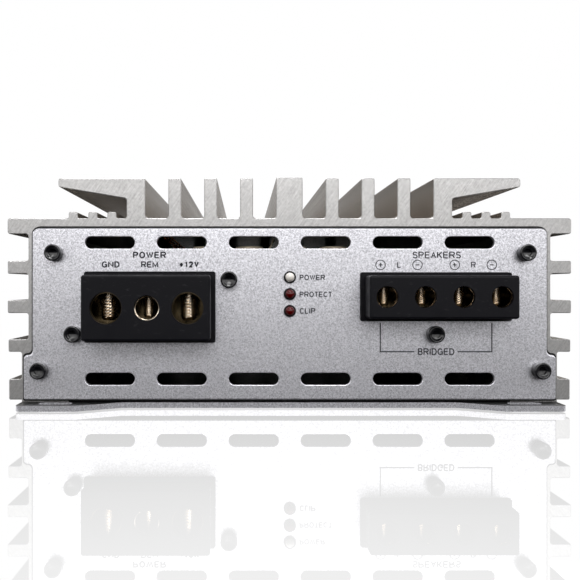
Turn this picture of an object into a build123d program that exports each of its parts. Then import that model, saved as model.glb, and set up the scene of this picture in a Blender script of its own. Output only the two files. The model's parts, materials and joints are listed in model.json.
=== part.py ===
from build123d import *
import os

# Car amplifier. Millimetres, +Z up, +X to the right when facing the terminal end, -Y is the terminal end.
# The origin is on the underside of the bottom plate, in the middle of its length and width.

# ---- heatsink extrusion: half section, right-hand side, mirrored about X = 0
heatsink_length = 250.0
base_under = 59.6
base_top = 62.5
fin_top = 75.7
fin_half = 2.12
fin_centres = (14.15, 26.0, 37.85)
rib_half = 4.35
rib_top = 76.0
stem_inner = 47.65
stem_outer = 53.75
wing_tip = 76.3
wing_tip_under = 72.8
wing_root_under = 69.0
low_rib_centres = (58.65, 64.95, 71.45)
low_rib_half = 1.45
low_rib_top = 64.6
overhang_edge = 93.1
overhang_under = 57.3
wall_inner = 83.0
wall_outer = 86.2
lower_wall_outer = 88.4
side_fin_edge = 93.05
side_fins = ((44.2, 48.4), (31.2, 35.4))
step_fin = (18.4, 22.5)
step_fin_edge = 92.8
bottom_fin = (2.6, 9.4)
bottom_fin_edge = 92.6
foot_inner = 73.0
foot_top = 4.8
upper_port = (77.05, 50.95)
lower_port = (81.8, 12.55)
port_boss_radius = 3.3
port_web_half = 1.6
deburr = 0.25

# ---- sheet metal
panel_thickness = 1.2
panel_top = 59.15
panel_upper_half = 84.4
panel_lower_half = 87.3
panel_step_height = 17.5
panel_bottom = 2.8
panel_corner = 2.0
panel_step_fillet = 1.4
panel_edge_round = 0.5
gasket_thickness = 0.3
gasket_overhang = 0.55
gasket_width = 3.05
vent_length = 16.3
vent_width = 3.95
vent_centres = (11.8, 35.4, 58.95)
vent_heights = (54.35, 9.65)
vent_edge_round = 0.25
plate_thickness = 1.8
plate_half_width = 88.4
plate_end_beyond = 0.5
tab_reach = 7.0
tab_inner_edge = 69.0
tab_root_edge = 55.2
tab_corner = 2.0
tab_slot_length = 11.0
tab_slot_width = 3.8
tab_slot_x = 76.5
tab_slot_beyond = 2.5

# ---- M3 screws
m3_shank = 1.45
m3_hole = 1.5
m3_clear = 1.6
m3_head = 2.75
m3_head_height = 3.0
m3_socket_across = 2.5
m3_socket_depth = 1.6
panel_screw_length = 10.0
countersink_x = 78.5
countersink_y = (-105.0, -35.0, 35.0, 105.0)
countersink_depth = 1.5

# ---- terminal blocks
block_reach = 10.0
block_wall = 1.4
block_step_proud = 1.0
block_edge = 1.0
block_collar_back = 3.0
block_tail_back = 5.0
power_centre = (-45.87, 33.2)
power_front = (40.5, 20.8)
power_step = (42.8, 23.1)
power_collar = (46.6, 26.6)
power_ear_screws = ((-70.74, 24.46), (-19.9, 42.2))
speaker_centre = (47.8, 36.6)
speaker_front = (46.9, 13.7)
speaker_step = (49.3, 15.8)
speaker_collar = (53.0, 19.6)
speaker_ear_screws = ((47.4, 24.4),)
ear_radius = 3.6
window_gap = 0.15
clamp_screw_back = 6.3
fit_gap = 0.05
access_gap = 0.45
tail_thickness = 1.2

# name, X, height, entry radius, bore radius, block half width, block bottom, block top, screw radius,
# screw length, socket size across flats
power_ways = (
    ("gnd", -58.3, 33.2, 5.05, 4.7, 5.8, 24.6, 41.8, 2.95, 12.0, 3.0),
    ("rem", -45.5, 33.2, 4.0, 3.55, 4.9, 24.6, 41.8, 1.95, 10.0, 2.0),
    ("supply_12v", -32.7, 33.2, 5.05, 4.7, 5.8, 24.6, 41.8, 2.95, 12.0, 3.0),
)
speaker_ways = (
    ("speaker_left_plus", 29.8, 36.65, 3.45, 3.2, 4.7, 31.2, 42.0, 1.95, 8.0, 2.0),
    ("speaker_left_minus", 41.8, 36.65, 3.45, 3.2, 4.7, 31.2, 42.0, 1.95, 8.0, 2.0),
    ("speaker_right_plus", 53.8, 36.65, 3.45, 3.2, 4.7, 31.2, 42.0, 1.95, 8.0, 2.0),
    ("speaker_right_minus", 65.8, 36.65, 3.45, 3.2, 4.7, 31.2, 42.0, 1.95, 8.0, 2.0),
)
screw_tip_gap = 0.05
screw_tip_chamfer = 0.64

# ---- indicator lamps
lamp_heights = (("power", 43.0), ("protect", 37.5), ("clip", 31.95))
lens_radius = 1.5
lens_reach = 2.3
lens_flange_radius = 1.9
bezel_lip_radius = 2.0
bezel_tube_radius = 1.8
bezel_bore = 1.55
lamp_hole = 1.85

# ---- circuit board and the parts on it
board_bottom = 14.9
board_top = 16.5
board_half_width = 76.5
board_half_length = 121.0
standoff_right = ((69.5, -104.0), (66.0, 0.0), (66.0, 100.0))
standoff_places = tuple((side * x, y) for side in (-1, 1) for x, y in standoff_right)
standoff_radius = 2.75
front_capacitors = tuple((-27.8 + 14.63 * k, -113.9) for k in range(4))
front_capacitor_radius = 4.9
front_capacitor_top = 53.8
supply_capacitors = tuple((x, y) for x in (-14.0, 12.0) for y in (-38.0, -12.0, 14.0))
supply_capacitor_radius = 11.0
supply_capacitor_top = 50.0
transformer_place = (-40.4, -98.0)
transformer_radius = 17.8
transformer_bore = 8.0
transformer_width = 13.0
inductor_place = (46.0, -98.0)
inductor_radius = 15.0
inductor_bore = 7.0
inductor_width = 10.0
winding_thickness = 1.5
relay_span_x = (42.0, 58.0)
relay_span_y = (-85.0, -66.0)
relay_height = 20.0
transistor_places = tuple(-90.0 + 22.5 * k for k in range(9))
transistor_width = 15.6
transistor_thickness = 4.8
transistor_span = (26.0, 46.0)
insulator_thickness = 0.3
clamp_bar_thickness = 2.5
clamp_bar_span = (33.0, 41.0)
clamp_bar_half = 98.5
clamp_screw_y = tuple(-78.75 + 45.0 * k for k in range(4)) + (78.75,)

# ---- control end
control_board_y = (112.0, 113.6)
control_board_half = 72.0
control_board_top = 50.0
jack_columns = (60.0, 42.0)
jack_rows = (42.0, 24.0)
jack_shell_radius = 4.15
jack_neck_radius = 3.95
jack_neck_proud = 0.2
jack_shell_bore = 3.6
jack_contact_bore = 1.65
jack_reach = 10.0
knob_places = (("level", 18.0), ("crossover", -6.0), ("bass", -30.0))
knob_height = 30.0
knob_radius = 2.5
knob_bushing = 3.4
knob_reach = 4.5
switch_places = (("filter_switch", 6.0), ("boost_switch", -18.0))
switch_height = 43.0
switch_lever_half = (1.5, 1.3)
switch_slot_half = (4.0, 1.7)
switch_reach = 3.0
switch_body_half = (6.5, 3.2)
knob_body_half = (5.0, 5.5)
knob_body_depth = 6.0
jack_body_half = 7.0
remote_place = (-58.0, 30.0)
remote_half = (7.0, 6.2)
remote_cavity_half = (5.5, 4.0)
remote_cavity_depth = 10.0

half_length = heatsink_length / 2
panel_back = half_length + gasket_thickness
panel_face = panel_back + panel_thickness


def block(x0, x1, y0, y1, z0, z1):
    """A box between two opposite corners."""
    return Pos((x0 + x1) / 2, (y0 + y1) / 2, (z0 + z1) / 2) * Box(x1 - x0, y1 - y0, z1 - z0)


def rod_x(y, z, x0, x1, radius):
    return Pos((x0 + x1) / 2, y, z) * Rot(0, 90, 0) * Cylinder(radius, x1 - x0)


def rod_y(x, z, y0, y1, radius):
    return Pos(x, (y0 + y1) / 2, z) * Rot(90, 0, 0) * Cylinder(radius, y1 - y0)


def rod_z(x, y, z0, z1, radius):
    return Pos(x, y, (z0 + z1) / 2) * Cylinder(radius, z1 - z0)


def hexagon_rod(x, y, z0, z1, across_flats):
    outline = RegularPolygon(across_flats / 2, 6, major_radius=False)
    return Pos(x, y, z0) * extrude(outline, amount=z1 - z0)


def outline_from(points):
    """A closed face from (a, b, corner radius) points."""
    face = make_face(Polyline(*[(a, b) for a, b, _ in points], close=True)).face()
    for radius in sorted({r for _, _, r in points if r}):
        spots = [Vector(a, b, 0) for a, b, r in points if r == radius]
        corners = [v for v in face.vertices() if min((Vector(*v) - s).length for s in spots) < 1e-3]
        face = face.fillet_2d(radius, corners)
    return face


def mirrored(half):
    """Adds the left-hand half of an outline listed for X above zero."""
    return list(half) + [(-a, b, r) for a, b, r in reversed(half)]


def along_y(outline, y0, y1):
    """A section drawn in X and Z, made solid from y0 to y1."""
    return extrude(Plane(origin=(0, y1, 0), x_dir=(1, 0, 0), z_dir=(0, -1, 0)) * outline, amount=y1 - y0)


def rounded_box_y(centre, size, y0, y1, radius):
    return along_y(Pos(*centre) * RectangleRounded(size[0], size[1], radius), y0, y1)


def cap_screw_y(x, z, face, length, side):
    """A socket cap screw through the panel at `face`; side is -1 at the terminals, 1 at the controls."""
    head = rod_y(x, z, *sorted((face, face + side * m3_head_height)), m3_head)
    rim = head.edges().filter_by(GeomType.CIRCLE).sort_by(lambda e: side * e.center().Y)[-1]
    head = fillet(rim, 0.35)
    shank = rod_y(x, z, *sorted((face, face - side * length)), m3_shank)
    top = face + side * m3_head_height
    socket_plane = Plane(origin=(x, top, z), x_dir=(1, 0, 0), z_dir=(0, -side, 0))
    socket = extrude(socket_plane * RegularPolygon(m3_socket_across / 2, 6, major_radius=False),
                     amount=m3_socket_depth)
    return head + shank - socket


nodes = {}

# ---------------------------------------------------------------- heatsink
half = [(rib_half, rib_top, 0.4), (rib_half, base_top, 1.0)]
for centre in fin_centres:
    half += [
        (centre - fin_half, base_top, 1.0),
        (centre - fin_half, fin_top, 0.4),
        (centre + fin_half, fin_top, 0.4),
        (centre + fin_half, base_top, 1.0),
    ]
half += [
    (stem_inner, base_top, 1.0),
    (stem_inner, fin_top, 0.4),
    (wing_tip, fin_top, 0.9),
    (wing_tip, wing_tip_under, 0.9),
    (stem_outer, wing_root_under, 0.9),
    (stem_outer, base_top, 0.9),
]
for centre in low_rib_centres:
    half += [
        (centre - low_rib_half, base_top, 0.6),
        (centre - low_rib_half, low_rib_top, 0.6),
        (centre + low_rib_half, low_rib_top, 0.6),
        (centre + low_rib_half, base_top, 0.6),
    ]
half += [
    (overhang_edge, base_top, 0.9),
    (overhang_edge, overhang_under, 0.9),
    (wall_outer, overhang_under, 0.8),
]
for low, high in side_fins:
    half += [
        (wall_outer, high, 0.8),
        (side_fin_edge, high, 0.5),
        (side_fin_edge, low, 0.5),
        (wall_outer, low, 0.8),
    ]
half += [
    (wall_outer, step_fin[1], 0.8),
    (step_fin_edge, step_fin[1], 0.5),
    (step_fin_edge, step_fin[0], 0.5),
    (lower_wall_outer, step_fin[0], 0.8),
    (lower_wall_outer, bottom_fin[1], 0.8),
    (bottom_fin_edge, bottom_fin[1], 0.5),
    (bottom_fin_edge, bottom_fin[0], 0.5),
    (lower_wall_outer, bottom_fin[0], 0),
    (lower_wall_outer, plate_thickness, 0),
    (foot_inner, plate_thickness, 0),
    (foot_inner, foot_top, 0.5),
    (wall_inner, foot_top, 1.0),
    (wall_inner, base_under, 1.0),
]
section = outline_from(mirrored(half))
for side in (-1, 1):
    for (port_x, port_z), web in (
        (upper_port, (wall_inner + 0.5, upper_port[1])),
        (lower_port, (wall_inner + 0.5, lower_port[1])),
    ):
        section = section + Pos(side * port_x, port_z) * Circle(port_boss_radius)
        web_middle = side * (port_x + web[0]) / 2
        section = section + Pos(web_middle, port_z) * Rectangle(web[0] - port_x, 2 * port_web_half)
for side in (-1, 1):
    for port_x, port_z in (upper_port, lower_port):
        section = section - Pos(side * port_x, port_z) * Circle(m3_hole)
heatsink = along_y(section, -half_length, half_length)
for side in (-1, 1):
    for y in countersink_y:
        heatsink -= rod_z(side * countersink_x, y, plate_thickness - 1, foot_top + 1, m3_hole)
    for y in clamp_screw_y:
        inner, outer = sorted((side * (wall_inner - 1), side * (wall_outer - 0.8)))
        heatsink -= rod_x(y, sum(clamp_bar_span) / 2, inner, outer, m3_hole)
for end in (0, -1):
    heatsink = chamfer(heatsink.faces().sort_by(Axis.Y)[end].edges(), deburr)
nodes["heatsink"] = [heatsink]

# ---------------------------------------------------------------- end panels


def panel_outline(grow):
    """The panel's stepped outline, moved outward by `grow`."""
    return outline_from(mirrored([
        (panel_upper_half + grow, panel_top + grow, max(panel_corner + grow, 0.5)),
        (panel_upper_half + grow, panel_step_height + grow, panel_step_fillet),
        (panel_lower_half + grow, panel_step_height + grow, panel_step_fillet),
        (panel_lower_half + grow, panel_bottom - grow, 0.8),
    ]))


panel_section = panel_outline(0)
gasket_section = panel_outline(gasket_overhang) - panel_outline(gasket_overhang - gasket_width)
vent = SlotOverall(vent_length, vent_width)
for side in (-1, 1):
    for x in vent_centres:
        for z in vent_heights:
            panel_section = panel_section - Pos(side * x, z) * vent
    for port_x, port_z in (upper_port, lower_port):
        panel_section = panel_section - Pos(side * port_x, port_z) * Circle(m3_clear)


def eased(panel, side):
    """Rounds the rims of the vents on a panel's show face, then the outer rim of that face."""
    end = -1 if side > 0 else 0
    panel = panel.solid()
    face = panel.faces().sort_by(Axis.Y)[end]
    vents = [wire for wire in face.inner_wires() if abs(wire.bounding_box().size.X - vent_length) < 0.01]
    panel = panel.fillet(vent_edge_round, [edge for wire in vents for edge in wire.edges()])
    face = panel.faces().sort_by(Axis.Y)[end]
    return panel.fillet(panel_edge_round, face.outer_wire().edges())


def window(centre, size):
    return Pos(*centre) * RectangleRounded(size[0] + 2 * window_gap, size[1] + 2 * window_gap, 0.8)


front_section = panel_section - window(power_centre, power_step) - window(speaker_centre, speaker_step)
for x, z in power_ear_screws + speaker_ear_screws:
    front_section = front_section - Pos(x, z) * Circle(m3_clear)
for _, z in lamp_heights:
    front_section = front_section - Pos(0, z) * Circle(lamp_hole)
nodes["front_panel"] = [eased(along_y(front_section, -panel_face, -panel_back), -1)]

rear_section = panel_section
for x in jack_columns:
    for z in jack_rows:
        rear_section = rear_section - Pos(x, z) * Circle(jack_neck_radius + 0.2)
for _, x in knob_places:
    rear_section = rear_section - Pos(x, knob_height) * Circle(knob_bushing + 0.2)
for _, x in switch_places:
    opening = Rectangle(2 * switch_slot_half[0] + 0.4, 2 * switch_slot_half[1] + 0.4)
    rear_section = rear_section - Pos(x, switch_height) * opening
rear_section = rear_section - window(remote_place, (2 * remote_half[0], 2 * remote_half[1]))
nodes["rear_panel"] = [eased(along_y(rear_section, panel_back, panel_face), 1)]
nodes["panel_gaskets"] = [
    along_y(gasket_section, *sorted((side * half_length, side * panel_back))) for side in (-1, 1)
]

nodes["panel_screws"] = [
    cap_screw_y(hand * port_x, port_z, side * panel_face, panel_screw_length, side)
    for side in (-1, 1)
    for hand in (-1, 1)
    for port_x, port_z in (upper_port, lower_port)
]

# ---------------------------------------------------------------- bottom plate
tab_edge = half_length + tab_reach
plate_end = half_length + plate_end_beyond
plate_half = [
    (tab_root_edge, -plate_end, 1.5),
    (tab_inner_edge, -tab_edge, 1.5),
    (plate_half_width, -tab_edge, tab_corner),
    (plate_half_width, tab_edge, tab_corner),
    (tab_inner_edge, tab_edge, 1.5),
    (tab_root_edge, plate_end, 1.5),
]
plate_section = outline_from(mirrored(plate_half))
for x in (-tab_slot_x, tab_slot_x):
    for y in (-half_length - tab_slot_beyond, half_length + tab_slot_beyond):
        plate_section = plate_section - Pos(x, y) * SlotOverall(tab_slot_length, tab_slot_width)
bottom_plate = extrude(plate_section, amount=plate_thickness)
screw_solids = []
for side in (-1, 1):
    for y in countersink_y:
        x = side * countersink_x
        bottom_plate -= Pos(x, y, countersink_depth / 2) * Cone(m3_head + 0.1, m3_hole, countersink_depth)
        bottom_plate -= rod_z(x, y, 0, plate_thickness, m3_hole)
        cone = Pos(x, y, 0.1 + (countersink_depth - 0.15) / 2) * Cone(m3_head - 0.1, m3_shank,
                                                                       countersink_depth - 0.15)
        shank = rod_z(x, y, 1.0, foot_top + 1.0, m3_shank)
        recess = hexagon_rod(x, y, 0.0, 1.0, 2.0)
        screw_solids.append(cone + shank - recess)
for x, y in standoff_places:
    bottom_plate -= rod_z(x, y, 0, plate_thickness, standoff_radius - 0.4 + fit_gap)
nodes["bottom_plate"] = [bottom_plate]
nodes["bottom_plate_screws"] = screw_solids

# ---------------------------------------------------------------- terminal blocks
block_face = -panel_face - block_reach
cavity_face = block_face + block_wall
collar_front = -panel_back
collar_rear = collar_front + block_collar_back
tail_rear = collar_front + block_tail_back
clamp_screw_y_place = block_face + clamp_screw_back


def ear_outline(x, z, centre, size):
    """A round ear joined square to the collar beside it."""
    limits = [size[k] / 2 - ear_radius for k in (0, 1)]
    near_x = centre[0] + max(-limits[0], min(limits[0], x - centre[0]))
    near_z = centre[1] + max(-limits[1], min(limits[1], z - centre[1]))
    width = abs(x - near_x) or 2 * ear_radius
    height = abs(z - near_z) or 2 * ear_radius
    return Pos(x, z) * Circle(ear_radius) + Pos((x + near_x) / 2, (z + near_z) / 2) * Rectangle(width, height)


def terminal_housing(centre, front, step, collar, ears, ways):
    """Moulded block pushed through the panel; each way has a cavity, an entry and a screw hole."""
    nose = rounded_box_y(centre, front, block_face, tail_rear, 0.9)
    nose = fillet(nose.faces().sort_by(Axis.Y)[0].edges(), block_edge * 0.8)
    body = nose + rounded_box_y(centre, step, -panel_face - block_step_proud, collar_front, 0.7)
    body += rounded_box_y(centre, collar, collar_front, collar_rear, 1.0)
    for x, z in ears:
        body += along_y(ear_outline(x, z, centre, collar), collar_front, collar_rear)
    for _, x, z, entry, _, half_width, low, high, screw, _, _ in ways:
        body -= block(x - half_width - fit_gap, x + half_width + fit_gap, cavity_face, tail_rear,
                      low - fit_gap, high + fit_gap)
        body -= rod_y(x, z, block_face, cavity_face, entry)
        body -= rod_z(x, clamp_screw_y_place, high, centre[1] + step[1] / 2 + 1, screw + access_gap)
    for x, z in ears:
        body -= rod_y(x, z, collar_front, collar_rear, m3_hole)
    return body


power_housing = terminal_housing(power_centre, power_front, power_step, power_collar,
                                 power_ear_screws, power_ways)
speaker_housing = terminal_housing(speaker_centre, speaker_front, speaker_step, speaker_collar,
                                   speaker_ear_screws, speaker_ways)
nodes["power_terminal_housing"] = [power_housing]
nodes["speaker_terminal_housing"] = [speaker_housing]
nodes["terminal_fixing_screws"] = [
    cap_screw_y(x, z, -panel_face, 5.5, -1) for x, z in power_ear_screws + speaker_ear_screws
]

board_slots = []
for name, x, z, _, bore, half_width, low, high, screw, length, socket in power_ways + speaker_ways:
    body = block(x - half_width, x + half_width, cavity_face, tail_rear, low, high)
    body = chamfer(body.edges().filter_by(Axis.Y), 0.3)
    body -= rod_y(x, z, cavity_face, tail_rear - 1.5, bore)
    body -= rod_z(x, clamp_screw_y_place, z, high, screw + fit_gap)
    tail = block(x - 2.5, x + 2.5, tail_rear, tail_rear + tail_thickness, board_bottom - 1.2, z + 3.0)
    body += tail
    board_slots.append((x - 2.8, x + 2.8, tail_rear - 0.3, tail_rear + tail_thickness + 0.3))
    nodes[f"{name}_terminal"] = [body]

    tip = z - (bore**2 - (screw - screw_tip_chamfer) ** 2) ** 0.5 + screw_tip_gap
    clamp = rod_z(x, clamp_screw_y_place, tip, tip + length, screw)
    ends = clamp.edges().filter_by(GeomType.CIRCLE)
    clamp = chamfer(ends.sort_by(Axis.Z)[0], screw_tip_chamfer)
    clamp = chamfer(clamp.edges().filter_by(GeomType.CIRCLE).sort_by(Axis.Z)[-1], 0.3)
    clamp -= hexagon_rod(x, clamp_screw_y_place, tip + length - 2.6, tip + length, socket)
    nodes[f"{name}_clamp_screw"] = [clamp]

# ---------------------------------------------------------------- lamps
bezels = []
component_leads = []
lamp_board_y = (-120.4, -119.2)
for name, z in lamp_heights:
    dome_centre = -panel_face - lens_reach + lens_radius
    lens = rod_y(0, z, dome_centre, -123.3, lens_radius) + Pos(0, dome_centre, z) * Sphere(lens_radius)
    lens += rod_y(0, z, -124.0, -123.3, lens_flange_radius)
    nodes[f"{name}_lamp"] = [lens]
    ring = rod_y(0, z, -panel_face, -124.0, bezel_tube_radius)
    ring += rod_y(0, z, -panel_face - 0.6, -panel_face, bezel_lip_radius)
    bezels.append(ring - rod_y(0, z, -panel_face - 0.6, -124.0, bezel_bore))
    for lead_x in (-1.27, 1.27):
        component_leads.append(rod_y(lead_x, z, -123.3, lamp_board_y[0], 0.3))
nodes["lamp_bezels"] = bezels
nodes["lamp_board"] = [block(-6, 6, *lamp_board_y, board_top, 47.0)]

# ---------------------------------------------------------------- main board
board = block(-board_half_width, board_half_width, -board_half_length, board_half_length,
              board_bottom, board_top)
for x0, x1, y0, y1 in board_slots:
    board -= block(x0, x1, max(y0, -board_half_length - 1), y1, board_bottom - 1, board_top + 1)
standoffs = []
board_screws = []
for x, y in standoff_places:
    board -= rod_z(x, y, board_bottom, board_top, m3_clear)
    post = Pos(x, y, 0) * hexagon_rod(0, 0, plate_thickness, board_bottom, 2 * standoff_radius)
    post += rod_z(x, y, 0.3, plate_thickness, standoff_radius - 0.4)
    standoffs.append(post - rod_z(x, y, board_bottom - 6, board_bottom, m3_hole))
    head = rod_z(x, y, board_top, board_top + 2.0, m3_head)
    head = fillet(head.edges().filter_by(GeomType.CIRCLE).sort_by(Axis.Z)[-1], 0.8)
    screw = head + rod_z(x, y, board_top - 6.0, board_top, m3_shank)
    board_screws.append(screw - hexagon_rod(x, y, board_top + 0.9, board_top + 2.0, 2.0))
nodes["circuit_board"] = [board]
nodes["board_standoffs"] = standoffs
nodes["board_screws"] = board_screws


def capacitor(x, y, radius, top):
    can = rod_z(x, y, board_top, top, radius)
    can = fillet(can.edges().filter_by(GeomType.CIRCLE).sort_by(Axis.Z)[-1], 0.7)
    dish = rod_z(x, y, top - 0.4, top, radius - 1.4)
    groove = rod_z(x, y, board_top + 2.6, board_top + 3.8, radius) - rod_z(x, y, board_top + 2.6,
                                                                          board_top + 3.8, radius - 0.6)
    return can - dish - groove


nodes["front_capacitors"] = [
    capacitor(x, y, front_capacitor_radius, front_capacitor_top) for x, y in front_capacitors
]
nodes["supply_capacitors"] = [
    capacitor(x, y, supply_capacitor_radius, supply_capacitor_top) for x, y in supply_capacitors
]


def ring_y(x, y, z, outer, inner, width):
    """A ring whose axis runs along Y."""
    return rod_y(x, z, y - width / 2, y + width / 2, outer) - rod_y(x, z, y - width / 2, y + width / 2, inner)


def wound_ring(place, radius, bore, width):
    """The core and the copper wound round it, standing on edge on the board."""
    x, y = place
    z = board_top + radius + winding_thickness
    core = ring_y(x, y, z, radius, bore, width)
    copper = ring_y(x, y, z, radius + winding_thickness, bore - winding_thickness,
                    width + 2 * winding_thickness)
    copper -= ring_y(x, y, z, radius + fit_gap, bore - fit_gap, width + 2 * fit_gap)
    copper = fillet(copper.edges().filter_by(GeomType.CIRCLE).group_by(SortBy.LENGTH)[-1], 1.0)
    return core, copper


core, copper = wound_ring(transformer_place, transformer_radius, transformer_bore, transformer_width)
nodes["transformer_core"] = [core]
nodes["transformer_windings"] = [copper]
core, copper = wound_ring(inductor_place, inductor_radius, inductor_bore, inductor_width)
nodes["output_inductor_core"] = [core]
nodes["output_inductor_windings"] = [copper]

packages = []
pads = []
bars = []
bar_screws = []
bar_height = sum(clamp_bar_span) / 2
for side in (-1, 1):
    pad_inner = wall_inner - insulator_thickness
    package_inner = pad_inner - transistor_thickness
    bar_inner = package_inner - clamp_bar_thickness
    pad = block(*sorted((side * pad_inner, side * wall_inner)), -100.0, 100.0, 24.0, 47.0)
    bar = block(*sorted((side * bar_inner, side * package_inner)), -clamp_bar_half, clamp_bar_half,
                *clamp_bar_span)
    bar = fillet(bar.edges().filter_by(Axis.X), 2.0)
    for y in transistor_places:
        low, high = transistor_span
        body = block(*sorted((side * package_inner, side * pad_inner)), y - transistor_width / 2,
                     y + transistor_width / 2, low, high)
        inner_face = body.faces().sort_by(Axis.X)[0 if side > 0 else -1]
        packages.append(chamfer(inner_face.edges(), 0.4))
        lead_outer = package_inner + 2.6
        lead_inner = 73.5
        for offset in (-5.45, 0.0, 5.45):
            foot = block(*sorted((side * lead_inner, side * (lead_inner + 0.6))), y + offset - 0.6,
                         y + offset + 0.6, board_top, 22.6)
            across = block(*sorted((side * lead_inner, side * (lead_outer + 0.6))), y + offset - 0.6,
                           y + offset + 0.6, 22.0, 22.6)
            drop = block(*sorted((side * lead_outer, side * (lead_outer + 0.6))), y + offset - 0.6,
                         y + offset + 0.6, 22.0, low)
            component_leads.append(foot + across + drop)
    for y in clamp_screw_y:
        pad -= rod_x(y, bar_height, *sorted((side * (pad_inner - 1), side * (wall_inner + 1))), m3_hole)
        bar -= rod_x(y, bar_height, *sorted((side * (bar_inner - 1), side * (package_inner + 1))), m3_hole)
        head_span = sorted((side * bar_inner, side * (bar_inner - m3_head_height)))
        screw = rod_x(y, bar_height, *head_span, m3_head)
        screw += rod_x(y, bar_height, *sorted((side * bar_inner, side * (wall_outer - 1.2))), m3_shank)
        socket_end = side * (bar_inner - m3_head_height)
        socket_plane = Plane(origin=(socket_end, y, bar_height), x_dir=(0, 1, 0), z_dir=(side, 0, 0))
        screw -= extrude(socket_plane * RegularPolygon(m3_socket_across / 2, 6, major_radius=False),
                         amount=m3_socket_depth)
        bar_screws.append(screw)
    pads.append(pad)
    bars.append(bar)
nodes["power_transistors"] = packages
nodes["insulating_pads"] = pads
nodes["clamp_bars"] = bars
nodes["clamp_bar_screws"] = bar_screws

chips = []
for x in (-48.0, -32.0, 32.0, 48.0):
    for y in (30.0, 60.0):
        chips.append(block(x - 3.2, x + 3.2, y - 9.6, y + 9.6, board_top + 0.8, board_top + 4.2))
        for k in range(7):
            leg_y = y - 7.62 + 2.54 * k
            for hand in (-1, 1):
                leg = block(*sorted((x + hand * 3.2, x + hand * 3.8)), leg_y - 0.35, leg_y + 0.35,
                            board_top, board_top + 2.6)
                component_leads.append(leg)
nodes["driver_chips"] = chips
nodes["component_leads"] = component_leads
nodes["film_capacitors"] = [
    fillet(block(x - 9, x + 9, y - 3.5, y + 3.5, board_top, board_top + 14).edges().filter_by(Axis.Z), 0.8)
    for x in (-46.0, 46.0)
    for y in (-60.0, -46.0, -32.0)
]
relay = block(*relay_span_x, *relay_span_y, board_top, board_top + relay_height)
nodes["speaker_relay"] = [fillet(relay.edges().filter_by(Axis.Z), 0.8)]
nodes["signal_capacitors"] = [
    capacitor(x, y, 4.0, board_top + 12.0) for x in (-20.0, -8.0, 8.0, 20.0) for y in (46.0, 62.0)
]

# ---------------------------------------------------------------- control end
board_front, board_rear = control_board_y
nodes["control_board"] = [
    block(-control_board_half, control_board_half, board_front, board_rear, board_top, control_board_top)
]
jack_back = half_length - 0.1
shells = []
insulators = {"left": [], "right": []}
bodies = []
for x in jack_columns:
    low = min(jack_rows) - jack_body_half
    high = max(jack_rows) + jack_body_half
    body = block(x - jack_body_half, x + jack_body_half, board_rear, jack_back, low, high)
    body = fillet(body.edges().filter_by(Axis.Y), 0.8)
    for z, channel in zip(jack_rows, ("left", "right")):
        outer_end = panel_face + jack_reach
        barrel = rod_y(x, z, panel_face + jack_neck_proud, outer_end, jack_shell_radius)
        barrel = fillet(barrel.edges().filter_by(GeomType.CIRCLE).sort_by(Axis.Y)[-1], 0.3)
        shell = barrel + rod_y(x, z, jack_back, panel_face + jack_neck_proud, jack_neck_radius)
        shells.append(shell - rod_y(x, z, jack_back, outer_end, jack_shell_bore))
        plug = rod_y(x, z, jack_back, outer_end - 0.3, jack_shell_bore)
        insulators[channel].append(plug - rod_y(x, z, jack_back, outer_end - 0.3, jack_contact_bore))
        body -= rod_y(x, z, jack_back - 4.0, jack_back, jack_contact_bore)
    bodies.append(body)
nodes["signal_jack_bodies"] = bodies
nodes["signal_jack_shells"] = shells
nodes["left_jack_insulators"] = insulators["left"]
nodes["right_jack_insulators"] = insulators["right"]

knob_body_rear = board_rear + knob_body_depth
pot_bodies = []
for name, x in knob_places:
    body = block(x - knob_body_half[0], x + knob_body_half[0], board_rear, knob_body_rear,
                 knob_height - knob_body_half[1], knob_height + knob_body_half[1])
    body += rod_y(x, knob_height, knob_body_rear, panel_face - 0.2, knob_bushing)
    body -= rod_y(x, knob_height, board_rear + 1.0, panel_face, knob_radius + fit_gap)
    pot_bodies.append(body)
    shaft = rod_y(x, knob_height, board_rear + 1.3, panel_face + knob_reach, knob_radius)
    end = shaft.edges().filter_by(GeomType.CIRCLE).sort_by(Axis.Y)[-1]
    shaft = chamfer(end, 0.3)
    shaft -= block(x - 0.5, x + 0.5, panel_face + knob_reach - 1.5, panel_face + knob_reach,
                   knob_height - 3, knob_height + 3)
    nodes[f"{name}_shaft"] = [shaft]

nodes["pot_bodies"] = pot_bodies

switch_bodies = []
switch_floor = half_length - 3.8
for name, x in switch_places:
    body = block(x - switch_body_half[0], x + switch_body_half[0], board_rear, half_length,
                 switch_height - switch_body_half[1], switch_height + switch_body_half[1])
    body -= block(x - switch_slot_half[0], x + switch_slot_half[0], switch_floor, half_length,
                  switch_height - switch_slot_half[1], switch_height + switch_slot_half[1])
    switch_bodies.append(body)
    lever = block(x - switch_lever_half[0], x + switch_lever_half[0], switch_floor + 0.4,
                  panel_face + switch_reach, switch_height - switch_lever_half[1],
                  switch_height + switch_lever_half[1])
    lever = fillet(lever.edges().filter_by(Axis.Z).group_by(Axis.Y)[-1], 0.4)
    nodes[f"{name}_lever"] = [lever]
nodes["switch_bodies"] = switch_bodies

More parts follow.
